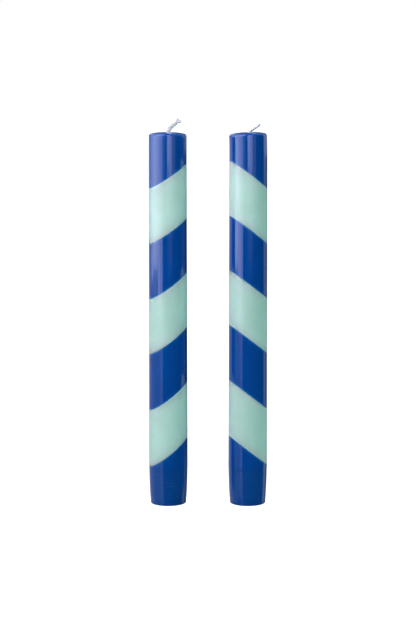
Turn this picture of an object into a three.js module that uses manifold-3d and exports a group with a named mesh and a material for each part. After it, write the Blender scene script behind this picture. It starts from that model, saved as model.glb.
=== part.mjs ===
import * as THREE from 'three';
import { mergeVertices } from 'three/addons/utils/BufferGeometryUtils.js';
import Module from 'manifold-3d';

// A pair of striped dinner candles that stand side by side. Millimetres, +Z up, origin on the
// table midway between the two candles, +X from the left candle to the right one.
// A candle is cast in a tilted mould, one colour of wax on top of the other. Each layer sets level
// while the mould leans, so in the upright candle every joint is one flat, slanted face.

// Candle body
const shoulderDiameter = 22; // widest place, which sits on the mouth of a 22 mm holder
const topDiameter = 21.2;
const rimRounding = 0.7;
const crownHeight = 1.2; // how far the top swells above the end of its rounded rim
const wellDiameter = 6.4; // melted hollow round the wick
const wellFloorDiameter = 4;
const wellDepth = 0.9;

// Foot, which tapers so that it wedges in a holder
const footLength = 20.5;
const footEndDiameter = 20;
const footBelly = 0.15; // how far the pull of the curved side stands out from a straight taper
const footEdgeRounding = 0.4;
const shoulderStep = 0.05; // the foot is pressed this much smaller than the body above it
const shoulderStepHeight = 0.5;

// Wax layers, measured along the candle's axis from one joint to the next. The middle ones are poured
// by hand to one height, and come out a little over or under it.
const footLayerHeight = 30.2;
const middleLayerHeight = 31.2;
const lowerMintOver = 0.8;
const lowerBlueOver = 0.3;
const middleMintOver = -0.3;
const upperBlueOver = -0.5;
const upperMintOver = -0.4;
const topLayerHeight = 23.9;
const jointGap = 0.3;

// Flat braided wick
const wickWidth = 2.5;
const wickThickness = 1.3;
const wickClearance = 0.3; // all round, between the wick and the bore in the wax
const wickRecess = 0.5; // the lower end stays this far above the table
const bendDepth = 1; // the wick starts to bend this far below the top
const splitDepth = 1; // notch between the two points of the cut end
const splitWidth = 1.3;

// The bend of each wick. Reach and rise place its end from the candle's axis and from the top. Pull
// up is how far the straight stretch draws the start of the bend, and the two pull outs place the
// point that draws its end.
const leftWickReach = 7.1;
const leftWickRise = 7;
const leftPullUp = 1.9;
const leftPullOutReach = 2.6;
const leftPullOutRise = 4.2;
const rightWickReach = 6.8;
const rightWickRise = 4.8;
const rightPullUp = 0.6;
const rightPullOutReach = 2.2;
const rightPullOutRise = 1;

// Degrees between a joint and the level. The mould is leant by hand for each pour, so the slope drifts
// evenly from the lowest joint to the highest.
const leftLowestSlope = 38.6;
const leftHighestSlope = 34.2;
const rightLowestSlope = 38.3;
const rightHighestSlope = 37.2;

const candleSpacing = 45; // between the two axes

// The candles differ in the way they are turned, in the slope of their joints and in how their wicks
// have been bent. wickTurn is the angle of the wick's broad face to the plane of the bend.
const candles = [
  {
    name: 'left',
    side: -1,
    ascent: 12, // degrees from +X towards +Y, the way that the joints climb
    slopes: [leftLowestSlope, leftHighestSlope],
    wickTurn: 0,
    reach: leftWickReach,
    rise: leftWickRise,
    pullUp: leftPullUp,
    pullOut: { reach: leftPullOutReach, rise: leftPullOutRise },
  },
  {
    name: 'right',
    side: 1,
    ascent: 192,
    slopes: [rightLowestSlope, rightHighestSlope],
    wickTurn: 90,
    reach: rightWickReach,
    rise: rightWickRise,
    pullUp: rightPullUp,
    pullOut: { reach: rightPullOutReach, rise: rightPullOutRise },
  },
];

// From the foot to the top
const layers = [
  { name: 'foot_blue_layer', wax: 'blue', height: footLayerHeight },
  { name: 'lower_mint_layer', wax: 'mint', height: middleLayerHeight + lowerMintOver },
  { name: 'lower_blue_layer', wax: 'blue', height: middleLayerHeight + lowerBlueOver },
  { name: 'middle_mint_layer', wax: 'mint', height: middleLayerHeight + middleMintOver },
  { name: 'upper_blue_layer', wax: 'blue', height: middleLayerHeight + upperBlueOver },
  { name: 'upper_mint_layer', wax: 'mint', height: middleLayerHeight + upperMintOver },
  { name: 'top_blue_layer', wax: 'blue', height: topLayerHeight },
];
const candleHeight = layers.reduce((total, layer) => total + layer.height, 0);

// How finely round shapes are divided
const bodySides = 60;
const profileSteps = 3;
const sectionSteps = 4;
const bendSteps = 12;
const weldDistance = 1e-4;

const finishes = {
  blue: new THREE.MeshStandardMaterial({ color: '#0f4c9e', roughness: 0.25, metalness: 0 }),
  mint: new THREE.MeshStandardMaterial({ color: '#afd3ca', roughness: 0.3, metalness: 0 }),
  cotton: new THREE.MeshStandardMaterial({ color: '#eceae6', roughness: 0.95, metalness: 0 }),
};

const wasm = await Module();
wasm.setup();

// A closed geometry becomes a solid that can be cut. Triangles that the weld has closed up, as at
// the pole of a turned shape, are left out.
function toSolid(geometry) {
  const bare = geometry.clone();
  bare.deleteAttribute('normal');
  bare.deleteAttribute('uv');
  const welded = mergeVertices(bare, weldDistance);
  const corners = welded.index.array;
  const triVerts = [];
  for (let i = 0; i < corners.length; i += 3) {
    const [a, b, c] = corners.slice(i, i + 3);
    if (a !== b && b !== c && c !== a) triVerts.push(a, b, c);
  }
  return new wasm.Manifold(new wasm.Mesh({
    numProp: 3,
    vertProperties: welded.attributes.position.array,
    triVerts: new Uint32Array(triVerts),
  }));
}

function toGeometry(solid) {
  const { vertProperties, triVerts } = solid.getMesh();
  const geometry = new THREE.BufferGeometry();
  geometry.setAttribute('position', new THREE.BufferAttribute(vertProperties, 3));
  geometry.setIndex(new THREE.BufferAttribute(triVerts, 1));
  geometry.computeVertexNormals();
  return geometry;
}

// A strip with half-round edges, which is the wick's section and, with a margin, its bore's.
function stripSection(margin) {
  const radius = wickThickness / 2 + margin;
  const reach = (wickWidth - wickThickness) / 2;
  const shape = new THREE.Shape();
  shape.absarc(reach, 0, radius, -Math.PI / 2, Math.PI / 2);
  shape.absarc(-reach, 0, radius, Math.PI / 2, Math.PI * 1.5);
  return shape;
}

// Half the candle's outline, from the middle of the base up to the middle of the top.
function candleOutline() {
  const footRadius = footEndDiameter / 2;
  const footTopRadius = shoulderDiameter / 2 - shoulderStep;
  const topRadius = topDiameter / 2;
  const wellRadius = wellDiameter / 2;
  const wellFloorRadius = wellFloorDiameter / 2;
  const rimStart = candleHeight - crownHeight - rimRounding;
  const rimEnd = candleHeight - crownHeight;
  const wellFloor = candleHeight - wellDepth;

  const outline = new THREE.Path();
  outline.moveTo(0, 0);
  outline.lineTo(footRadius - footEdgeRounding, 0);
  outline.absarc(footRadius - footEdgeRounding, footEdgeRounding, footEdgeRounding, -Math.PI / 2, 0);
  outline.quadraticCurveTo(
    (footRadius + footTopRadius) / 2 + footBelly,
    (footEdgeRounding + footLength) / 2,
    footTopRadius,
    footLength,
  );
  outline.lineTo(shoulderDiameter / 2, footLength + shoulderStepHeight);
  outline.lineTo(topRadius, rimStart);
  outline.absarc(topRadius - rimRounding, rimStart, rimRounding, 0, Math.PI / 2);
  outline.quadraticCurveTo((topRadius + wellRadius) / 2, candleHeight, wellRadius, candleHeight);
  outline.quadraticCurveTo((wellRadius + wellFloorRadius) / 2, wellFloor, wellFloorRadius, wellFloor);
  outline.lineTo(0, wellFloor);
  return outline.getPoints(profileSteps);
}

// The whole of a candle's wax, with the open bore for its wick.
function waxBody(candle) {
  const body = new THREE.LatheGeometry(candleOutline(), bodySides);
  body.rotateX(Math.PI / 2);
  const bore = new THREE.ExtrudeGeometry(stripSection(wickClearance), {
    depth: candleHeight + 2 * wickClearance,
    curveSegments: sectionSteps,
    bevelEnabled: false,
  });
  bore.translate(0, 0, -wickClearance);
  bore.rotateZ(THREE.MathUtils.degToRad(candle.wickTurn));
  return toSolid(body).subtract(toSolid(bore));
}

// The flat joints of a candle from the lowest to the highest, each with its unit normal, which points
// up, and its distance from the origin along that normal.
function jointPlanes(candle) {
  const [lowest, highest] = candle.slopes;
  const ascent = THREE.MathUtils.degToRad(candle.ascent);
  const lastJoint = layers.length - 2;
  let level = 0;
  return layers.slice(0, -1).map((layer, i) => {
    level += layer.height;
    const slope = THREE.MathUtils.degToRad(THREE.MathUtils.lerp(lowest, highest, i / lastJoint));
    const normal = new THREE.Vector3(0, 0, 1);
    normal.applyAxisAngle(new THREE.Vector3(-Math.sin(ascent), Math.cos(ascent), 0), -slope);
    return { normal, distance: level * Math.cos(slope) };
  });
}

// The wax of one layer, between the joint below it and the joint above, where it has them.
function layerWax(wax, below, above) {
  const half = jointGap / 2;
  let layer = wax;
  if (below) layer = layer.trimByPlane(below.normal.toArray(), below.distance + half);
  if (above) layer = layer.trimByPlane(above.normal.clone().negate().toArray(), half - above.distance);
  return layer;
}

// The line that the bent part of a wick follows, in the plane of the bend.
function wickBend(candle) {
  const start = candleHeight - bendDepth;
  return new THREE.CubicBezierCurve(
    new THREE.Vector2(0, start),
    new THREE.Vector2(0, candleHeight + candle.pullUp),
    new THREE.Vector2(candle.pullOut.reach, candleHeight + candle.pullOut.rise),
    new THREE.Vector2(candle.reach, candleHeight + candle.rise),
  );
}

// The wick is one strip. Its first step runs straight up through the wax, and the others follow
// the bend. Its cut end is split into two points.
function wickBody(candle) {
  const steps = bendSteps + 1;
  const strip = new THREE.ExtrudeGeometry(stripSection(0), {
    steps,
    depth: steps,
    curveSegments: sectionSteps,
    bevelEnabled: false,
  });
  strip.rotateZ(THREE.MathUtils.degToRad(candle.wickTurn));
  const bend = wickBend(candle);
  const position = strip.attributes.position;
  for (let i = 0; i < position.count; i += 1) {
    const step = Math.round(position.getZ(i));
    const x = position.getX(i);
    if (step === 0) {
      position.setZ(i, wickRecess);
    } else {
      const share = (step - 1) / bendSteps;
      const middle = bend.getPointAt(share);
      const along = bend.getTangentAt(share);
      position.setX(i, middle.x + x * along.y);
      position.setZ(i, middle.y - x * along.x);
    }
  }
  return toSolid(strip).subtract(splitNotch(candle, bend));
}

// A wedge that opens towards the wick's end, across the middle of its broad face.
function splitNotch(candle, bend) {
  const wedge = new THREE.Shape([
    new THREE.Vector2(0, -splitDepth),
    new THREE.Vector2(splitWidth, splitDepth),
    new THREE.Vector2(-splitWidth, splitDepth),
  ]);
  const notch = new THREE.ExtrudeGeometry(wedge, { depth: wickWidth * 2, bevelEnabled: false });
  notch.translate(0, 0, -wickWidth);
  notch.rotateX(Math.PI / 2);
  notch.rotateZ(THREE.MathUtils.degToRad(candle.wickTurn));
  const end = bend.getPointAt(1);
  const along = bend.getTangentAt(1);
  notch.rotateY(Math.atan2(along.x, along.y));
  notch.translate(end.x, 0, end.y);
  return toSolid(notch);
}

function makeCandle(candle) {
  const group = new THREE.Group();
  const wax = waxBody(candle);
  const joints = jointPlanes(candle);
  layers.forEach((layer, i) => {
    const solid = layerWax(wax, joints[i - 1], joints[i]);
    const mesh = new THREE.Mesh(toGeometry(solid), finishes[layer.wax]);
    mesh.name = `${candle.name}_${layer.name}`;
    group.add(mesh);
  });
  const wick = new THREE.Mesh(toGeometry(wickBody(candle)), finishes.cotton);
  wick.name = `${candle.name}_wick`;
  group.add(wick);
  group.position.x = candle.side * candleSpacing / 2;
  return group;
}

const group = new THREE.Group();
candles.forEach((candle) => group.add(makeCandle(candle)));

export default group;
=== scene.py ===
"""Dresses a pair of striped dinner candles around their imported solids.

Two candles stand side by side on a pale table. Each is cast in slanted layers of cobalt blue and mint
green wax, is lacquered above its duller, pressed foot, and holds a flat plaited cotton wick that has
been bent by hand. Lengths of the candles are written in millimetres and turned to metres where a mesh
is made. Those of the studio are in metres.
"""

import logging
import math
from collections.abc import Callable
from dataclasses import dataclass, field
from enum import Enum
from itertools import accumulate, pairwise

import bmesh
import bpy
from bpy.types import Material, Node, NodeSocket as Socket, NodeTree as Tree, Object
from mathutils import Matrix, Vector


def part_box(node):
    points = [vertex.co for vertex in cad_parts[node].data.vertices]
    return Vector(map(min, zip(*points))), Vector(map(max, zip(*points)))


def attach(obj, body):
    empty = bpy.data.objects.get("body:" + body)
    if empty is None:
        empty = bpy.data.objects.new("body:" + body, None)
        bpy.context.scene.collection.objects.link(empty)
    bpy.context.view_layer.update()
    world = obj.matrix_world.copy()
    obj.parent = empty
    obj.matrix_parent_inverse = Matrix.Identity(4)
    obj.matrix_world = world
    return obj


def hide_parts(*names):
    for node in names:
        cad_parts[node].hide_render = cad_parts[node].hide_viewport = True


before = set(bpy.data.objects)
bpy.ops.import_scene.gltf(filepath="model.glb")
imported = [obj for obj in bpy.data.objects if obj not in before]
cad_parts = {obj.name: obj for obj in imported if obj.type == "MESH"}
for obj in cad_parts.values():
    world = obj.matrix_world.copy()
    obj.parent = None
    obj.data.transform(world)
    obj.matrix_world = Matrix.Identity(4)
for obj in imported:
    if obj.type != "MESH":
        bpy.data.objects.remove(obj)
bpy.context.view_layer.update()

LOG = logging.getLogger("candles")
MM = 0.001
ROOT_BODY = "root"
CANDLE_HEIGHT = 210.0  # of the wax alone
AT_ZERO = 1e-6  # metres: what is lower lies on the table
WELD = 1e-7  # metres
STRAND_WELD = 1e-5  # metres

Pair = tuple[float, float]
Point = tuple[float, float, float]
Colour = tuple[float, float, float, float]
WHITE: Colour = (1.0, 1.0, 1.0, 1.0)

# Places of a Mix node's inputs and output, for colours and for numbers
FACTOR = 0
COLOUR_A, COLOUR_B, MIXED_COLOUR = 6, 7, 2
NUMBER_A, NUMBER_B, MIXED_NUMBER = 2, 3, 0


class Slot(Enum):
    """The record's material slots."""

    BLUE = "blue_wax"
    MINT = "mint_wax"
    WICK = "wick_cotton"


class Layer(Enum):
    """The wax layers of a candle from its foot to its top, by the end of their nodes' names."""

    FOOT_BLUE = "foot_blue_layer"
    LOWER_MINT = "lower_mint_layer"
    LOWER_BLUE = "lower_blue_layer"
    MIDDLE_MINT = "middle_mint_layer"
    UPPER_BLUE = "upper_blue_layer"
    UPPER_MINT = "upper_mint_layer"
    TOP_BLUE = "top_blue_layer"

    @property
    def slot(self) -> Slot:
        """The slot of the layer's colour."""
        return Slot.MINT if "mint" in self.value else Slot.BLUE


def linear(srgb: str) -> Colour:
    """Turns an sRGB hex colour to the linear values that a shader takes.

    Args:
        srgb: The colour as "#rrggbb".

    Returns:
        Red, green, blue and an alpha of 1.
    """
    parts = [int(srgb[i : i + 2], 16) / 255 for i in (1, 3, 5)]
    red, green, blue = (p / 12.92 if p <= 0.04045 else ((p + 0.055) / 1.055) ** 2.4 for p in parts)
    return (red, green, blue, 1.0)


def add_node(
    tree: Tree,
    kind: str,
    settings: dict[str | int, object] | None = None,
    links: dict[str | int, Socket] | None = None,
) -> Node:
    """Adds one node with its settings and links.

    Args:
        tree: The material's or world's nodes.
        kind: The node's type name.
        settings: Values by the name of an option, or by the name or place of an input.
        links: Sockets to link to this node's inputs, by the name or place of the input.

    Returns:
        The node.
    """
    node = tree.nodes.new(kind)
    inputs = (settings or {}).items()
    for key, value in inputs:
        if isinstance(key, str) and hasattr(node, key):
            setattr(node, key, value)
    for key, value in inputs:
        if isinstance(key, int) or not hasattr(node, key):
            node.inputs[key].default_value = value
    for key, socket in (links or {}).items():
        tree.links.new(socket, node.inputs[key])
    return node


def blank_material(name: str) -> Material:
    """Makes a material that has no nodes yet.

    Args:
        name: The material's name.

    Returns:
        The material.
    """
    material = bpy.data.materials.new(name)
    material.use_nodes = True
    material.node_tree.nodes.clear()
    return material


def select_only(*objects: Object) -> None:
    """Leaves just these objects selected, the first of them active.

    Args:
        objects: The objects to select.
    """
    bpy.ops.object.select_all(action="DESELECT")
    for o in objects:
        o.select_set(True)
    bpy.context.view_layer.objects.active = objects[0]


def select_vertices(piece: Object, test: Callable[[Vector], bool]) -> None:
    """Selects the vertices of a mesh in edit mode whose place passes a test.

    Args:
        piece: The object in edit mode.
        test: Takes a vertex's place and says whether it is selected.
    """
    bpy.ops.mesh.select_mode(type="VERT")
    bpy.ops.mesh.select_all(action="DESELECT")
    shape = bmesh.from_edit_mesh(piece.data)
    for vertex in shape.verts:
        vertex.select = test(vertex.co)
    shape.select_flush(True)
    bmesh.update_edit_mesh(piece.data)


def close_edit() -> None:
    """Turns the faces of the mesh in edit mode outwards and leaves edit mode."""
    bpy.ops.mesh.select_all(action="SELECT")
    bpy.ops.mesh.normals_make_consistent(inside=False)
    bpy.ops.object.mode_set(mode="OBJECT")


def copy_of(piece: Object, name: str) -> Object:
    """Copies an object with a mesh of its own.

    Args:
        piece: The object to copy.
        name: The name of the copy.

    Returns:
        The copy.
    """
    twin = piece.copy()
    twin.data = piece.data.copy()
    twin.name = name
    twin.data.name = name
    bpy.context.scene.collection.objects.link(twin)
    return twin


def apply_modifier(piece: Object, kind: str, **settings: object) -> None:
    """Adds a modifier to a piece and applies it at once.

    Args:
        piece: The object.
        kind: The modifier's type.
        settings: The modifier's options.
    """
    modifier = piece.modifiers.new(kind.lower(), kind)
    for key, value in settings.items():
        setattr(modifier, key, value)
    select_only(piece)
    bpy.ops.object.modifier_apply(modifier=modifier.name)


def dress(piece: Object, finish: Material, node: str) -> None:
    """Gives a finished piece its material and its place in the frame.

    Args:
        piece: The piece.
        finish: The material.
        node: The node that the piece stands for.
    """
    piece.data.materials.clear()
    piece.data.materials.append(finish)
    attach(piece, ROOT_BODY)
    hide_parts(node)
    LOG.info("%s: %d faces", piece.name, len(piece.data.polygons))


@dataclass(frozen=True)
class Joint:
    """One flat joint between two layers of wax."""

    place: Vector  # where it crosses the candle's axis, in metres
    normal: Vector  # of unit length, upwards


@dataclass(frozen=True)
class Layering:
    """Where the flat, slanted joints of one candle's wax layers lie."""

    axis_x: float
    ascent: float  # degrees from +X towards +Y, the way that the joints climb
    slopes: Pair  # degrees from level, of the lowest and the highest joint
    heights: tuple[float, ...] = (30.2, 32.0, 31.5, 30.9, 30.7, 30.8)  # along the axis, from the foot

    @property
    def joints(self) -> list[Joint]:
        """Works out the joints.

        Returns:
            The joints from the foot up.
        """
        ascent = math.radians(self.ascent)
        lowest, highest = self.slopes
        last = len(self.heights) - 1
        made = []
        for i, level in enumerate(accumulate(self.heights)):
            slope = math.radians(lowest + (highest - lowest) * i / last)
            lean = -math.sin(slope)
            normal = Vector((lean * math.cos(ascent), lean * math.sin(ascent), math.cos(slope)))
            made.append(Joint(Vector((self.axis_x, 0, level)) * MM, normal))
        return made


@dataclass(frozen=True)
class WaxFinish:
    """Paraffin wax cast with oil dye and dipped in clear lacquer.

    The eye sees a deep, even colour under a thin, sharp gloss, light that goes some way into the wax
    before it comes out, and a paler line at each joint. In the blue the two waxes have run together
    there; in the mint the paler line is painted light, which makes up for light lost through the joint.
    """

    name: str
    colour: str
    joint_tint_and_painted_light: str  # the colour right at a joint: mixed wax in the blue, painted light in the mint
    depth: Point  # how far red, green and blue light goes into the wax
    joint_tint_and_painted_light_reach: float = 1.8
    joint_tint_and_painted_light_strength: float = 0.35
    cloud_size: float = 14.0
    cloud_strength: float = 0.05
    glow: float = 0.35  # the share of light that goes into the wax
    roughness: float = 0.13
    roughness_spread: float = 0.15
    gloss: float = 1.0
    gloss_roughness: float = 0.06
    ripple_size: float = 9.0
    ripple_height: float = 0.03
    ripple_scale: Point = (1.0, 1.0, 0.35)  # drawn out along the candle
    grain_size: float = 0.5
    grain_height: float = 0.0
    grain_scale: Point = (0.25, 0.25, 1.0)  # drawn out round the candle
    scrape: str = "#7f9bcb"  # wax that has been rubbed pale
    scrape_size: float = 3.0
    scrape_scale: Point = (1.0, 1.0, 5.0)  # flat and level
    scrape_strength: float = 0.0

    WAX_IOR = 1.44
    LACQUER_IOR = 1.5
    # Between which values of its noise each pattern runs
    CLOUD_NOISE = (0.3, 0.7)
    ROUGHNESS_NOISE = (0.25, 0.75)
    SCRAPE_NOISE = (0.6, 0.75)

    def make(self, layering: Layering) -> Material:
        """Makes the material for one candle.

        Args:
            layering: The candle's joints, along which the wax is paler.

        Returns:
            The material.
        """
        material = blank_material(self.name)
        tree = material.node_tree
        place = add_node(tree, "ShaderNodeTexCoord").outputs["Object"]
        normal = self._surface(tree, place)
        shader = add_node(
            tree,
            "ShaderNodeBsdfPrincipled",
            {
                "IOR": self.WAX_IOR,
                "Subsurface Weight": self.glow,
                "Subsurface Radius": self.depth,
                "Subsurface Scale": MM,
                "Coat Weight": self.gloss,
                "Coat Roughness": self.gloss_roughness,
                "Coat IOR": self.LACQUER_IOR,
            },
            {
                "Base Color": self._colour(tree, place, layering),
                "Roughness": self._roughness(tree, place),
                "Normal": normal,
                "Coat Normal": normal,
            },
        )
        add_node(tree, "ShaderNodeOutputMaterial", links={"Surface": shader.outputs["BSDF"]})
        return material

    def _colour(self, tree: Tree, place: Socket, layering: Layering) -> Socket:
        """Mixes the dye, its faint clouds and the paler line at the joints, which in the mint is
        painted light.

        Args:
            tree: The material's nodes.
            place: The place on the object.
            layering: The candle's joints.

        Returns:
            The colour.
        """
        cloud = add_node(
            tree,
            "ShaderNodeTexNoise",
            {"Scale": 1 / (self.cloud_size * MM), "Detail": 3.0, "Roughness": 0.55},
            {"Vector": place},
        )
        shade = add_node(
            tree,
            "ShaderNodeMapRange",
            {
                "From Min": self.CLOUD_NOISE[0],
                "From Max": self.CLOUD_NOISE[1],
                "To Min": 1 - self.cloud_strength,
                "To Max": 1 + self.cloud_strength,
            },
            {"Value": cloud.outputs["Fac"]},
        )
        dyed = add_node(
            tree,
            "ShaderNodeVectorMath",
            {"operation": "SCALE", 0: linear(self.colour)[:3]},
            {"Scale": shade.outputs["Result"]},
        )
        # The joint colour is painted light in the mint and mixed wax in the blue.
        near = self._nearness(tree, place, layering)
        colour = add_node(
            tree,
            "ShaderNodeMix",
            {"data_type": "RGBA", COLOUR_B: linear(self.joint_tint_and_painted_light)},
            {FACTOR: near, COLOUR_A: dyed.outputs["Vector"]},
        ).outputs[MIXED_COLOUR]
        return self._scraped(tree, place, colour) if self.scrape_strength else colour

    def _scraped(self, tree: Tree, place: Socket, colour: Socket) -> Socket:
        """Rubs the wax pale in short, level scrapes.

        Args:
            tree: The material's nodes.
            place: The place on the object.
            colour: The colour of the wax.

        Returns:
            The colour with the scrapes.
        """
        level = add_node(tree, "ShaderNodeMapping", {"Scale": self.scrape_scale}, {"Vector": place})
        marks = add_node(
            tree,
            "ShaderNodeTexNoise",
            {"Scale": 1 / (self.scrape_size * MM), "Detail": 5.0, "Roughness": 0.65},
            {"Vector": level.outputs["Vector"]},
        )
        share = add_node(
            tree,
            "ShaderNodeMapRange",
            {
                "From Min": self.SCRAPE_NOISE[0],
                "From Max": self.SCRAPE_NOISE[1],
                "To Min": 0.0,
                "To Max": self.scrape_strength,
            },
            {"Value": marks.outputs["Fac"]},
        )
        return add_node(
            tree,
            "ShaderNodeMix",
            {"data_type": "RGBA", COLOUR_B: linear(self.scrape)},
            {FACTOR: share.outputs["Result"], COLOUR_A: colour},
        ).outputs[MIXED_COLOUR]

    def _nearness(self, tree: Tree, place: Socket, layering: Layering) -> Socket:
        """Works out how strongly the paler colour of the nearest joint shows: mixed wax in the blue,
        painted light in the mint.

        Args:
            tree: The material's nodes.
            place: The place on the object.
            layering: The candle's joints.

        Returns:
            The share of the joint's colour.
        """
        nearest = None
        for joint in layering.joints:
            across = add_node(
                tree, "ShaderNodeVectorMath", {"operation": "DOT_PRODUCT", 1: joint.normal}, {0: place}
            ).outputs["Value"]
            offset = add_node(
                tree,
                "ShaderNodeMath",
                {"operation": "SUBTRACT", 1: joint.place.dot(joint.normal)},
                {0: across},
            ).outputs["Value"]
            distance = add_node(
                tree, "ShaderNodeMath", {"operation": "ABSOLUTE"}, {0: offset}
            ).outputs["Value"]
            if nearest is None:
                nearest = distance
            else:
                nearest = add_node(
                    tree, "ShaderNodeMath", {"operation": "MINIMUM"}, {0: nearest, 1: distance}
                ).outputs["Value"]
        return add_node(
            tree,
            "ShaderNodeMapRange",
            {
                "interpolation_type": "SMOOTHERSTEP",
                "From Min": 0.0,
                "From Max": self.joint_tint_and_painted_light_reach * MM,
                "To Min": self.joint_tint_and_painted_light_strength,
                "To Max": 0.0,
            },
            {"Value": nearest},
        ).outputs["Result"]

    def _roughness(self, tree: Tree, place: Socket) -> Socket:
        """Varies the roughness a little, as handled wax has it.

        Args:
            tree: The material's nodes.
            place: The place on the object.

        Returns:
            The roughness.
        """
        patches = add_node(
            tree,
            "ShaderNodeTexNoise",
            {"Scale": 2 / (self.cloud_size * MM), "Detail": 4.0},
            {"Vector": place},
        )
        return add_node(
            tree,
            "ShaderNodeMapRange",
            {
                "From Min": self.ROUGHNESS_NOISE[0],
                "From Max": self.ROUGHNESS_NOISE[1],
                "To Min": self.roughness * (1 - self.roughness_spread),
                "To Max": self.roughness * (1 + self.roughness_spread),
            },
            {"Value": patches.outputs["Fac"]},
        ).outputs["Result"]

    def _surface(self, tree: Tree, place: Socket) -> Socket:
        """Makes the slow ripple of cast wax and, on the foot, the fine level lines of the press.

        Args:
            tree: The material's nodes.
            place: The place on the object.

        Returns:
            The surface normal.
        """
        stretched = add_node(tree, "ShaderNodeMapping", {"Scale": self.ripple_scale}, {"Vector": place})
        ripple = add_node(
            tree,
            "ShaderNodeTexNoise",
            {"Scale": 1 / (self.ripple_size * MM), "Detail": 1.5},
            {"Vector": stretched.outputs["Vector"]},
        )
        rippled = add_node(
            tree,
            "ShaderNodeBump",
            {"Distance": self.ripple_height * MM},
            {"Height": ripple.outputs["Fac"]},
        )
        if not self.grain_height:
            return rippled.outputs["Normal"]
        level = add_node(tree, "ShaderNodeMapping", {"Scale": self.grain_scale}, {"Vector": place})
        grain = add_node(
            tree,
            "ShaderNodeTexNoise",
            {"Scale": 1 / (self.grain_size * MM), "Detail": 3.0},
            {"Vector": level.outputs["Vector"]},
        )
        return add_node(
            tree,
            "ShaderNodeBump",
            {"Distance": self.grain_height * MM},
            {"Height": grain.outputs["Fac"], "Normal": rippled.outputs["Normal"]},
        ).outputs["Normal"]


@dataclass(frozen=True)
class CottonFinish:
    """Bleached cotton yarn, plaited and dipped in clear wax.

    The eye sees a soft off-white with a felt of fine fibres, and painted shade that makes it darker
    down between the strands.
    """

    name: str = "bleached_plaited_cotton"
    colour: str = "#e1e1e1"
    # Painted shade: the colour of the yarn's low places.
    painted_hollow_shade: str = "#cbcbcc"
    yarn: float = 0.22  # one twist of the yarn, drawn about twice as coarse as it is
    relief: float = 0.006
    roughness: float = 0.85
    sheen: float = 0.3
    glow: float = 0.5
    depth: float = 0.8  # how far light of any colour goes into the yarn

    COTTON_IOR = 1.53

    def make(self) -> Material:
        """Makes the material.

        Returns:
            The material.
        """
        material = blank_material(self.name)
        tree = material.node_tree
        place = add_node(tree, "ShaderNodeTexCoord").outputs["Object"]
        twist = add_node(
            tree,
            "ShaderNodeTexWave",
            {
                "wave_type": "BANDS",
                "bands_direction": "DIAGONAL",
                "Scale": 0.5 / (self.yarn * MM),
                "Distortion": 2.0,
                "Detail": 3.0,
            },
            {"Vector": place},
        )
        fibre = add_node(
            tree,
            "ShaderNodeTexNoise",
            {"Scale": 1 / (self.yarn * MM), "Detail": 6.0, "Roughness": 0.7},
            {"Vector": place},
        )
        felt = {0: twist.outputs["Fac"], 1: fibre.outputs["Fac"]}
        height = add_node(tree, "ShaderNodeMath", {"operation": "MULTIPLY"}, felt).outputs["Value"]
        # Painted shade: the low places of the twist and the felt are drawn darker.
        colour = add_node(
            tree,
            "ShaderNodeMix",
            {"data_type": "RGBA", COLOUR_A: linear(self.painted_hollow_shade), COLOUR_B: linear(self.colour)},
            {FACTOR: height},
        )
        bump = add_node(tree, "ShaderNodeBump", {"Distance": self.relief * MM}, {"Height": height})
        shader = add_node(
            tree,
            "ShaderNodeBsdfPrincipled",
            {
                "Roughness": self.roughness,
                "IOR": self.COTTON_IOR,
                "Sheen Weight": self.sheen,
                "Subsurface Weight": self.glow,
                "Subsurface Radius": (1.0, 1.0, 1.0),
                "Subsurface Scale": self.depth * MM,
            },
            {"Base Color": colour.outputs[MIXED_COLOUR], "Normal": bump.outputs["Normal"]},
        )
        add_node(tree, "ShaderNodeOutputMaterial", links={"Surface": shader.outputs["BSDF"]})
        return material


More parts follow.
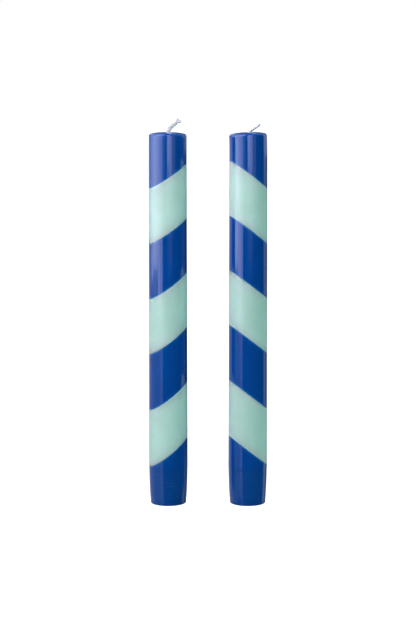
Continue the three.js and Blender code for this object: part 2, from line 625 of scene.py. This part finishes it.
@dataclass
class WaxBody:
    """The wax of a candle, turned as one closed shape and then cut at its joints."""

    shoulder_diameter: float = 22.0
    top_diameter: float = 21.2
    height: float = CANDLE_HEIGHT
    rim_rounding: float = 1.8
    rim_sweep: float = 74.0  # degrees of the round, up to where the crown starts
    crown: float = 0.7
    well_diameter: float = 6.4
    well_floor_diameter: float = 4.0
    well_depth: float = 0.9
    foot_length: float = 20.5
    foot_end_diameter: float = 20.2
    foot_belly: float = 0.3  # how far the pull of the curved side stands out
    foot_edge_rounding: float = 0.3
    base_share: float = 0.8  # of the foot's radius, where the first ring lies
    shoulder_step: float = 0.05
    shoulder_step_height: float = 0.25
    bore: Pair = (1.55, 1.0)  # half the breadth and depth of the hole round the wick
    mouth: Pair = (1.35, 0.85)  # where the wax has crept up to the wick
    mouth_depth: float = 0.5
    sides: int = 160
    ring_spacing: float = 2.4
    edge_steps: int = 7
    foot_steps: int = 10
    shoulder_steps: int = 2
    rim_steps: int = 10
    crown_steps: int = 8
    well_steps: int = 6
    skin: float = 0.004  # how far the widest place stays inside the solid's
    ripple: float = 0.04
    ripple_size: float = 16.0
    ripple_level: float = 1.0  # at 1 it only draws the wax in
    dent: float = 0.14
    dent_size: float = 3.2
    dent_level: float = 0.8
    dent_reach: Pair = (0.02, 3.4)  # levels between which the foot is dented
    cloud_depth: int = 1  # how often the noise of both is refined
    side_clear: float = 4.0  # what is further from the axis than this is the outer side
    lean_depth: float = 12.0  # how far below the top it starts to lean
    lean_steps: int = 6
    smooth_angle: float = 40.0

    def outline(self) -> list[Point]:
        """Works out the rings of the turned shape, from the base up the side and down the bore.

        Returns:
            For each ring its radius along and across the wick's breadth, and its level.
        """
        foot = self.foot_end_diameter / 2
        foot_top = self.shoulder_diameter / 2 - self.shoulder_step
        shoulder = self.shoulder_diameter / 2 - self.skin
        top = self.top_diameter / 2
        well = self.well_diameter / 2
        well_floor = self.well_floor_diameter / 2
        sweep = math.radians(self.rim_sweep)
        rim_start = self.height - self.crown - self.rim_rounding * math.sin(sweep)
        step_top = self.foot_length + self.shoulder_step_height
        body = max(2, round((rim_start - step_top) / self.ring_spacing))

        rings = [(foot * self.base_share, 0.0)]
        edge = self.foot_edge_rounding
        rings += self._arc(foot - edge, edge, edge, -90, 90, self.edge_steps)
        rings += self._pull(
            (foot, edge),
            ((foot + foot_top) / 2 + self.foot_belly, (edge + self.foot_length) / 2),
            (foot_top, self.foot_length),
            self.foot_steps,
        )
        rings += self._pull(
            (foot_top, self.foot_length),
            ((foot_top + shoulder) / 2, (self.foot_length + step_top) / 2),
            (shoulder, step_top),
            self.shoulder_steps,
        )
        for i in range(1, body):
            share = i / body
            radius = shoulder + (top - shoulder) * share
            rings.append((radius, step_top + (rim_start - step_top) * share))
        rounding = self.rim_rounding
        rings += self._arc(top - rounding, rim_start, rounding, 0, self.rim_sweep, self.rim_steps)
        crown_start = rings[-1]
        rings += self._pull(
            crown_start,
            ((crown_start[0] + well) / 2, self.height),
            (well, self.height),
            self.crown_steps,
        )
        floor_level = self.height - self.well_depth
        rings += self._pull(
            (well, self.height),
            ((well + well_floor) / 2, floor_level),
            (well_floor, floor_level),
            self.well_steps,
        )
        turned = [(radius, radius, level) for radius, level in rings]
        level = floor_level - self.mouth_depth / 2
        bore_top = level - self.mouth_depth
        return [*turned, (*self.mouth, level), (*self.bore, bore_top), (*self.bore, 0.0)]

    @staticmethod
    def _arc(
        centre_radius: float, centre_level: float, radius: float, start: float, sweep: float, steps: int
    ) -> list[Pair]:
        """Makes a round of the outline.

        Args:
            centre_radius: The round's centre, out from the axis.
            centre_level: The round's centre, above the table.
            radius: The round's own radius.
            start: The angle that it starts from, in degrees.
            sweep: How far it goes, in degrees.
            steps: How many steps it takes.

        Returns:
            Radius and level of each place.
        """
        angles = (math.radians(start + sweep * i / steps) for i in range(steps + 1))
        out, up = centre_radius, centre_level
        return [(out + radius * math.cos(a), up + radius * math.sin(a)) for a in angles]

    @staticmethod
    def _pull(start: Pair, pull: Pair, end: Pair, steps: int) -> list[Pair]:
        """Makes a stretch of the outline that is drawn towards a third place.

        Args:
            start: Radius and level of the place before it, which is left out.
            pull: The place that draws it.
            end: The last place.
            steps: How many steps it takes.

        Returns:
            Radius and level of each place.
        """
        made = []
        for i in range(1, steps + 1):
            t = i / steps
            parts = list(zip(((1 - t) ** 2, 2 * t * (1 - t), t**2), (start, pull, end)))
            made.append(tuple(sum(weight * place[k] for weight, place in parts) for k in (0, 1)))
        return made

    def turn(self) -> Object:
        """Extrudes a ring up the outline, over the top and down the bore, and closes the base.

        Returns:
            The closed shape, centred on the frame's own axis.
        """
        rings = self.outline()
        first = rings[0]
        bpy.ops.object.select_all(action="DESELECT")
        bpy.ops.mesh.primitive_circle_add(
            vertices=self.sides,
            radius=first[0] * MM,
            fill_type="NOTHING",
            enter_editmode=True,
            location=(0, 0, 0),
        )
        wax = bpy.context.object
        bpy.ops.mesh.select_mode(type="EDGE")
        for (along, across, level), (next_along, next_across, next_level) in pairwise(rings):
            rise = (next_level - level) * MM
            bpy.ops.mesh.extrude_region_move(TRANSFORM_OT_translate={"value": (0, 0, rise)})
            bpy.ops.transform.resize(
                value=(next_along / along, next_across / across, 1),
                center_override=(0, 0, next_level * MM),
            )
        outer = first[0] * MM + AT_ZERO
        select_vertices(wax, lambda place: place.z < AT_ZERO and place.xy.length < outer)
        bpy.ops.mesh.select_mode(type="EDGE")
        bpy.ops.mesh.bridge_edge_loops()
        bpy.ops.mesh.select_all(action="SELECT")
        bpy.ops.mesh.remove_doubles(threshold=WELD)
        close_edit()
        return wax

    def lean_top(self, wax: Object, axis_x: float, lean: float) -> None:
        """Leans the top of a candle sideways, a little more at each step up.

        Args:
            wax: The whole wax of one candle, in its place and in edit mode.
            axis_x: The candle's axis, in mm.
            lean: Degrees by which its right side is raised.
        """
        for i in range(self.lean_steps):
            level = (self.height - self.lean_depth * (1 - i / self.lean_steps)) * MM
            select_vertices(wax, lambda place: place.z > level)
            bpy.ops.transform.rotate(
                value=math.radians(lean / self.lean_steps),
                orient_axis="Y",
                center_override=(axis_x * MM, 0, level),
            )

    def weather(self, wax: Object) -> None:
        """Gives the wax its slow ripple and presses small dents into the lower edge of the foot.

        Args:
            wax: The whole wax of one candle, in its place.
        """
        side = (self.foot_edge_rounding, self.height - self.rim_rounding)
        for name, size, strength, mid_level, reach in (
            ("slow_ripple", self.ripple_size, self.ripple, self.ripple_level, side),
            ("pressed_dents", self.dent_size, self.dent, self.dent_level, self.dent_reach),
        ):
            clouds = bpy.data.textures.new(name, "CLOUDS")
            clouds.noise_scale = size * MM
            clouds.noise_depth = self.cloud_depth
            apply_modifier(
                wax,
                "DISPLACE",
                texture=clouds,
                texture_coords="LOCAL",
                strength=strength * MM,
                mid_level=mid_level,
                vertex_group=self._group(wax, name, *reach),
            )
        wax.vertex_groups.clear()

    def _group(self, wax: Object, name: str, low: float, high: float) -> str:
        """Gathers the outer vertices between two levels.

        Args:
            wax: The object.
            name: The group's name.
            low: The lower level.
            high: The upper level.

        Returns:
            The group's name.
        """
        clear = self.side_clear * MM
        centre = sum(map(Vector, wax.bound_box), Vector()) / len(wax.bound_box)
        select_only(wax)
        bpy.ops.object.mode_set(mode="EDIT")
        select_vertices(
            wax, lambda p: low * MM < p.z < high * MM and (p.xy - centre.xy).length > clear
        )
        bpy.ops.object.vertex_group_add()
        bpy.ops.object.vertex_group_assign()
        bpy.ops.object.mode_set(mode="OBJECT")
        wax.vertex_groups.active.name = name
        return name

    def cut(self, wax: Object, name: str, below: Joint | None, above: Joint | None) -> Object:
        """Cuts one layer out of the wax, with flat faces at its joints.

        Args:
            wax: The whole wax of one candle.
            name: The name of the layer's piece.
            below: The joint below, or None at the foot.
            above: The joint above, or None at the top.

        Returns:
            The layer.
        """
        layer = copy_of(wax, name)
        select_only(layer)
        bpy.ops.object.mode_set(mode="EDIT")
        for joint, outer in ((above, True), (below, False)):
            if joint is None:
                continue
            bpy.ops.mesh.select_all(action="SELECT")
            bpy.ops.mesh.bisect(
                plane_co=joint.place,
                plane_no=joint.normal,
                use_fill=True,
                clear_inner=not outer,
                clear_outer=outer,
            )
        close_edit()
        bpy.ops.object.shade_smooth_by_angle(angle=math.radians(self.smooth_angle))
        return layer


@dataclass(frozen=True)
class WickBend:
    """How the free end of one wick has been bent, as in the solid, from its own axis and the top."""

    pull_up: float  # how far the straight stretch draws the start of the bend
    pull_out: Pair  # the place that draws its end
    end: Pair
    turn: float  # degrees between the wick's breadth and the plane of the bend


@dataclass
class PlaitedWick:
    """A flat wick of three cotton strands, plaited, and split at its cut end."""

    top: float = CANDLE_HEIGHT
    bend_depth: float = 1.0
    recess: float = 0.5
    breadth: float = 2.8
    depth: float = 1.75
    strand_breadth: float = 1.75
    strand_depth: float = 1.2
    pitch: float = 3.6
    strand_sides: int = 12
    steps: int = 16
    felt: float = 0.2  # the strands are felted together at this fineness
    rubbing: int = 5  # how often the felt is rubbed smooth
    rub: float = 0.5  # how much of its unevenness each rubbing takes off
    ends: Point = (0.1, 0.8, 0.6)  # how much shorter each strand is cut
    spread: Point = (-0.35, 0.8, 0.6)  # how far each has come off the plait
    fray: float = 2.4  # how far back from the end they part
    fray_steps: int = 6
    path_steps: int = 96
    spare_repeats: int = 2  # of the plait, which the cuts at both ends take off

    def make(self, name: str, axis_x: float, bend: WickBend) -> Object:
        """Plaits the wick, bends its free end and puts it in its candle.

        Args:
            name: The piece's name.
            axis_x: The candle's axis.
            bend: How the free end has been bent.

        Returns:
            The wick.
        """
        path = self._path(axis_x, bend)
        length = path.data.splines[0].calc_length()
        strands = [
            self._strand(f"{name}_strand_{i}", i / len(self.ends), length - short * MM, aside)
            for i, (short, aside) in enumerate(zip(self.ends, self.spread))
        ]
        select_only(*strands)
        bpy.ops.object.join()
        wick = strands[0]
        wick.name = name
        wick.data.name = name
        apply_modifier(wick, "CURVE", object=path, deform_axis="POS_Z")
        bpy.data.objects.remove(path)
        apply_modifier(wick, "REMESH", mode="VOXEL", voxel_size=self.felt * MM)
        apply_modifier(wick, "SMOOTH", factor=self.rub, iterations=self.rubbing)
        select_only(wick)
        bpy.ops.object.shade_smooth()
        return wick

    def _path(self, axis_x: float, bend: WickBend) -> Object:
        """Draws the line that the wick follows, straight up through the wax and along its bend.

        Args:
            axis_x: The candle's axis.
            bend: How the free end has been bent.

        Returns:
            The curve.
        """
        data = bpy.data.curves.new("wick_path", "CURVE")
        data.dimensions = "3D"
        data.resolution_u = self.path_steps
        data.twist_mode = "MINIMUM"
        spline = data.splines.new("BEZIER")
        spline.bezier_points.add(2)
        foot = Vector((0, 0, self.recess))
        start = Vector((0, 0, self.top - self.bend_depth))
        up = Vector((0, 0, self.top + bend.pull_up))
        out = Vector((bend.pull_out[0], 0, self.top + bend.pull_out[1]))
        end = Vector((bend.end[0], 0, self.top + bend.end[1]))
        shift = Vector((axis_x, 0, 0))
        knots = (
            (foot, foot, (foot + start) / 2),
            ((foot + start) / 2, start, up),
            (out, end, end * 2 - out),
        )
        for point, (before, knot, after) in zip(spline.bezier_points, knots):
            point.handle_left_type = "FREE"
            point.handle_right_type = "FREE"
            point.handle_left = (before + shift) * MM
            point.co = (knot + shift) * MM
            point.handle_right = (after + shift) * MM
            point.tilt = math.radians(bend.turn)
        path = bpy.data.objects.new("wick_path", data)
        bpy.context.scene.collection.objects.link(path)
        return path

    def _strand(self, name: str, phase: float, length: float, aside: float) -> Object:
        """Makes one strand of the plait, standing straight up from the origin.

        Args:
            name: The object's name.
            phase: Where in the plait's repeat the strand starts, from 0 to 1.
            length: How long the strand is, in metres.
            aside: How far its end has come off the plait, in mm.

        Returns:
            The strand.
        """
        sway = (self.breadth - self.strand_breadth) / 2
        cross = (self.depth - self.strand_depth) / 2

        def centre(share: float) -> Vector:
            """Gives the middle of the strand at a share of the repeat."""
            turn = 2 * math.pi * share
            return Vector((sway * math.sin(turn), cross * math.sin(2 * turn), self.pitch * share)) * MM

        bpy.ops.object.select_all(action="DESELECT")
        bpy.ops.mesh.primitive_circle_add(
            vertices=self.strand_sides,
            radius=self.strand_breadth / 2 * MM,
            fill_type="NOTHING",
            enter_editmode=True,
            location=centre(0),
        )
        strand = bpy.context.object
        strand.name = name
        bpy.ops.transform.resize(
            value=(1, self.strand_depth / self.strand_breadth, 1), center_override=centre(0)
        )
        bpy.ops.mesh.select_mode(type="EDGE")
        for i in range(self.steps):
            move = centre((i + 1) / self.steps) - centre(i / self.steps)
            bpy.ops.mesh.extrude_region_move(TRANSFORM_OT_translate={"value": move})
        bpy.ops.object.mode_set(mode="OBJECT")
        bpy.ops.object.transform_apply(location=True, rotation=True, scale=True)
        apply_modifier(
            strand,
            "ARRAY",
            count=math.ceil(length / (self.pitch * MM)) + self.spare_repeats,
            use_relative_offset=False,
            use_constant_offset=True,
            constant_offset_displace=(0, 0, self.pitch * MM),
            use_merge_vertices=True,
            merge_threshold=STRAND_WELD,
        )
        bpy.ops.object.mode_set(mode="EDIT")
        bpy.ops.mesh.select_all(action="SELECT")
        bpy.ops.transform.translate(value=(0, 0, -(1 + phase) * self.pitch * MM))
        for level, outer in ((0, False), (length, True)):
            bpy.ops.mesh.select_all(action="SELECT")
            bpy.ops.mesh.bisect(
                plane_co=(0, 0, level),
                plane_no=(0, 0, 1),
                use_fill=True,
                clear_inner=not outer,
                clear_outer=outer,
            )
        for i in range(self.fray_steps):
            level = length - self.fray * MM * (1 - i / self.fray_steps)
            select_vertices(strand, lambda place: place.z > level)
            bpy.ops.transform.translate(value=(aside / self.fray_steps * MM, 0, 0))
        close_edit()
        return strand


@dataclass
class Candle:
    """One candle: seven layers of wax and a wick."""

    name: str
    ascent: float
    slopes: Pair
    lean: float  # degrees by which the top's right side is raised
    bend: WickBend
    body: WaxBody = field(default_factory=WaxBody)
    wick: PlaitedWick = field(default_factory=PlaitedWick)

    @property
    def axis_x(self) -> float:
        """The candle's axis, in mm, from the solid of its foot."""
        low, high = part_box(f"{self.name}_{Layer.FOOT_BLUE.value}")
        return (low.x + high.x) / 2 / MM

    def build(self, turned: Object, cotton: Material) -> None:
        """Builds and dresses every piece of the candle.

        Args:
            turned: The turned wax, centred on the frame's own axis.
            cotton: The wick's material.
        """
        layering = Layering(self.axis_x, self.ascent, self.slopes)
        finishes = {Slot.BLUE: COBALT.make(layering), Slot.MINT: MINT.make(layering)}
        wax = self._stand(turned)
        joints = [None, *layering.joints, None]
        for layer, below, above in zip(Layer, joints, joints[1:]):
            node = f"{self.name}_{layer.value}"
            piece = self.body.cut(wax, node.replace("layer", "wax"), below, above)
            dress(piece, finishes[layer.slot], node)
            if layer is Layer.FOOT_BLUE:
                self._press(piece, PRESSED_COBALT.make(layering))
        bpy.data.objects.remove(wax)
        wick = self.wick.make(f"{self.name}_plaited_wick", self.axis_x, self.bend)
        dress(wick, cotton, f"{self.name}_wick")

    def _stand(self, turned: Object) -> Object:
        """Copies the turned wax, turns it to suit the wick and stands it on its axis.

        Args:
            turned: The turned wax.

        Returns:
            The candle's wax, rippled and dented.
        """
        wax = copy_of(turned, f"{self.name}_wax")
        select_only(wax)
        bpy.ops.object.mode_set(mode="EDIT")
        bpy.ops.mesh.select_all(action="SELECT")
        turn = math.radians(self.bend.turn)
        bpy.ops.transform.rotate(value=turn, orient_axis="Z", center_override=(0, 0, 0))
        bpy.ops.transform.translate(value=(self.axis_x * MM, 0, 0))
        self.body.lean_top(wax, self.axis_x, self.lean)
        bpy.ops.object.mode_set(mode="OBJECT")
        self.body.weather(wax)
        return wax

    def _press(self, layer: Object, finish: Material) -> None:
        """Gives the faces below the shoulder the finish of pressed wax.

        Args:
            layer: The foot layer.
            finish: The finish.
        """
        layer.data.materials.append(finish)
        shoulder = (self.body.foot_length + self.body.shoulder_step_height / 2) * MM
        for face in layer.data.polygons:
            if face.center.z < shoulder:
                face.material_index = len(layer.data.materials) - 1


@dataclass(frozen=True)
class SoftLight:
    """A lit panel that stands round the candles, by the directions that it fills."""

    name: str
    first: float  # degrees from the viewer's side, where 90 is to the right
    last: float
    low: float  # metres above the table
    high: float
    level: float  # brightness of the panel, where 1 is white
    distance: float = 1.0
    aim: float | None = None  # the height that a tilted panel faces
    about_x: float = 0.0  # where along X the middle of its circle lies
    mirrored: bool = True  # shows in the gloss and lights nothing, or the other way round
    tint: str = "#daddff"  # a daylight tube's violet cast

    WHITE_PANEL = math.pi  # watts from a square metre that is as bright as white

    def make(self) -> None:
        """Makes the lamp and puts it in its place."""
        middle = math.radians((self.first + self.last) / 2)
        half = math.radians(abs(self.last - self.first) / 2)
        data = bpy.data.lights.new(self.name, "AREA")
        data.shape = "RECTANGLE"
        data.size = 2 * self.distance * math.tan(half)
        data.size_y = self.high - self.low
        data.energy = self.level * data.size * data.size_y * self.WHITE_PANEL
        data.color = linear(self.tint)[:3]
        lamp = bpy.data.objects.new(self.name, data)
        height = (self.low + self.high) / 2
        level_way = Vector((math.sin(middle), -math.cos(middle), 0)) * self.distance
        drop = Vector((0, 0, 0 if self.aim is None else height - self.aim))
        lamp.location = level_way + Vector((self.about_x, 0, height))
        lamp.rotation_euler = (level_way + drop).to_track_quat("Z", "Y").to_euler()
        lamp.visible_camera = False
        lamp.visible_glossy = self.mirrored
        lamp.visible_diffuse = not self.mirrored
        bpy.context.scene.collection.objects.link(lamp)


@dataclass(frozen=True)
class Studio:
    """A pale table and backdrop, soft panels and the camera."""

    floor_size: float = 60.0
    floor_shade: float = 0.35
    floor_glow: float = 0.9  # for the camera alone
    fill: float = 0.85  # light from all round
    fill_tint: str = "#d4fff8"  # light that has come off pale green walls
    dark: float = 0.008  # what the gloss shows between the panels
    camera_distance: float = 0.9356
    camera_height: float = 0.2341
    camera_pitch: float = 5.5
    camera_shift: float = 0.0992
    lens: float = 96.63
    sensor: float = 36.0
    nearest: float = 0.01  # what is closer to the camera isn't drawn

    ROSE = "#ffd9ea"  # the cast of the two lamps in front
    # The first three light the wax, and only the gloss shows the others.
    PANELS = (
        SoftLight("key", -80, -30, 0.4, 0.9, 4.9, 0.6, 0.1, 0.06, mirrored=False, tint=ROSE),
        SoftLight("near_key", -50, 10, 0.28, 0.4, 2.2, 0.2, 0.2, mirrored=False, tint=ROSE),
        SoftLight("back_key", 140, 220, 0.4, 0.9, 3.0, 0.6, 0.1, mirrored=False, tint="#ffffff"),
        SoftLight("left_inner", -47, -32, -0.03, 6.0, 1.75),
        SoftLight("left_column", -62, -47, -0.03, 6.0, 2.5),
        SoftLight("left_main", -95, -62, 0.033, 6.0, 3.3),
        SoftLight("left_outer", -116, -95, 0.02, 6.0, 2.0),
        SoftLight("left_back", -140, -116, 0.1, 6.0, 0.65),
        SoftLight("left_low_inner", -47, -32, -0.4, -0.03, 0.55),
        SoftLight("left_low_main", -95, -47, -0.4, -0.03, 0.31),
        SoftLight("left_low_step", -95, -62, -0.03, 0.033, 0.6),
        SoftLight("left_low_outer", -116, -95, -0.4, 0.02, 0.35),
        SoftLight("left_low_back", -140, -116, -0.4, 0.1, 0.42),
        SoftLight("left_haze", -32, -18, 0.11, 6.0, 0.35),
        SoftLight("strip", -4, 12, 0.15, 6.0, 2.7),
        SoftLight("strip_middle", -4, 12, 0.1, 0.15, 1.0),
        SoftLight("strip_low", -4, 12, 0.04, 0.1, 0.15),
        SoftLight("strip_right", 12, 25, 0.13, 6.0, 1.9),
        SoftLight("strip_right_low", 12, 25, 0.04, 0.13, 0.3),
        SoftLight("strip_far", 25, 46, 0.1, 6.0, 0.45),
        SoftLight("backdrop_left", -180, -140, -0.4, 0.2, 0.5),
        SoftLight("backdrop_right", 160, 180, -0.4, 0.2, 0.35),
        SoftLight("left_over", -168, -140, 0.5, 2.5, 1.1),
        SoftLight("back_top", -215, -145, 0.3, 1.2, 0.25, tint="#8ea8ec"),
        SoftLight("right_card", 102, 126, -0.1, 0.25, 0.45, distance=0.1, about_x=0.0225),
        SoftLight("back_right_top", 105, 160, 0.16, 6.0, 0.42),
        SoftLight("back_right_low", 110, 160, -0.4, -0.2, 0.12),
    )

    def build(self) -> None:
        """Builds the floor, the world, the lamps and the camera."""
        self._floor()
        self._world()
        for panel in self.PANELS:
            panel.make()
        self._camera()
        bpy.context.scene.view_settings.view_transform = "Standard"

    def _floor(self) -> None:
        """Lays the pale table top, which the gloss of the wax doesn't show."""
        bpy.ops.object.select_all(action="DESELECT")
        bpy.ops.mesh.primitive_plane_add(size=self.floor_size)
        floor = bpy.context.object
        floor.name = "table_top"
        material = blank_material("pale_table")
        tree = material.node_tree
        seen_only = add_node(tree, "ShaderNodeLightPath").outputs["Is Camera Ray"]
        glow = add_node(
            tree, "ShaderNodeMath", {"operation": "MULTIPLY", 1: self.floor_glow}, {0: seen_only}
        )
        shader = add_node(
            tree,
            "ShaderNodeBsdfPrincipled",
            {
                "Base Color": (self.floor_shade,) * 3 + (1.0,),
                "Roughness": 1.0,
                "Specular IOR Level": 0.0,
                "Emission Color": WHITE,
            },
            {"Emission Strength": glow.outputs["Value"]},
        )
        add_node(tree, "ShaderNodeOutputMaterial", links={"Surface": shader.outputs["BSDF"]})
        floor.data.materials.append(material)
        floor.visible_glossy = False

    def _world(self) -> None:
        """Makes the white backdrop, the soft fill and the dark room that the gloss shows."""
        world = bpy.data.worlds.new("studio")
        bpy.context.scene.world = world
        world.use_nodes = True
        tree = world.node_tree
        tree.nodes.clear()
        rays = add_node(tree, "ShaderNodeLightPath")
        unseen = add_node(
            tree,
            "ShaderNodeMix",
            {"data_type": "FLOAT", NUMBER_A: self.fill, NUMBER_B: self.dark},
            {FACTOR: rays.outputs["Is Glossy Ray"]},
        )
        strength = add_node(
            tree,
            "ShaderNodeMix",
            {"data_type": "FLOAT", NUMBER_B: 1.0},
            {FACTOR: rays.outputs["Is Camera Ray"], NUMBER_A: unseen.outputs[MIXED_NUMBER]},
        )
        tint = add_node(
            tree,
            "ShaderNodeMix",
            {"data_type": "RGBA", COLOUR_A: linear(self.fill_tint), COLOUR_B: WHITE},
            {FACTOR: rays.outputs["Is Camera Ray"]},
        )
        background = add_node(
            tree,
            "ShaderNodeBackground",
            links={"Color": tint.outputs[MIXED_COLOUR], "Strength": strength.outputs[MIXED_NUMBER]},
        )
        add_node(tree, "ShaderNodeOutputWorld", links={"Surface": background.outputs["Background"]})

    def _camera(self) -> None:
        """Puts the camera where the photograph was taken from."""
        data = bpy.data.cameras.new("camera")
        data.lens = self.lens
        data.sensor_width = self.sensor
        data.shift_y = -self.camera_shift
        data.clip_start = self.nearest
        camera = bpy.data.objects.new("camera", data)
        camera.location = (0, -self.camera_distance, self.camera_height)
        camera.rotation_euler = (math.radians(90 - self.camera_pitch), 0, 0)
        bpy.context.scene.collection.objects.link(camera)
        bpy.context.scene.camera = camera


# Cobalt blue wax: deep and almost opaque, so that the streaks of gloss stand out on it.
COBALT = WaxFinish(
    "lacquered_cobalt_paraffin",
    "#004798",
    "#1f80cc",
    depth=(0.2, 0.6, 1.2),
    joint_tint_and_painted_light_reach=1.3,
    joint_tint_and_painted_light_strength=0.5,
)
# Mint green wax: milky, so that light wanders through it and its shaded side stays bright. At a
# joint it is painted paler: painted light that makes up for the light that the blue next to it takes
# away.
MINT = WaxFinish(
    "lacquered_mint_paraffin",
    "#b7d8cf",
    # Painted light: the paler colour that the mint is given at each joint.
    "#c6f5ee",
    depth=(8.0, 12.0, 10.0),
    joint_tint_and_painted_light_reach=2.2,
    joint_tint_and_painted_light_strength=0.6,
    glow=0.8,
    gloss=0.28,
    gloss_roughness=0.1,
)
# The same blue wax where a heated press has shaped the foot and blurred the gloss.
PRESSED_COBALT = WaxFinish(
    "pressed_cobalt_paraffin",
    "#004793",
    "#1068b4",
    depth=(0.3, 1.0, 2.5),
    roughness=0.2,
    gloss=0.9,
    gloss_roughness=0.1,
    grain_height=0.012,
    scrape_strength=0.16,
)

CANDLES = (
    Candle("left", 12.0, (38.6, 34.2), -0.4, WickBend(1.9, (2.6, 4.15), (7.1, 6.94), 0.0)),
    Candle("right", 192.0, (38.3, 37.2), 2.0, WickBend(0.6, (2.2, 1.0), (6.8, 4.8), 90.0)),
)


def main() -> None:
    """Builds the studio and both candles, in order."""
    logging.basicConfig(level=logging.INFO, format="%(message)s")
    Studio().build()
    cotton = CottonFinish().make()
    turned = WaxBody().turn()
    for candle in CANDLES:
        candle.build(turned, cotton)
    bpy.data.objects.remove(turned)


if __name__ == "__main__":
    main()
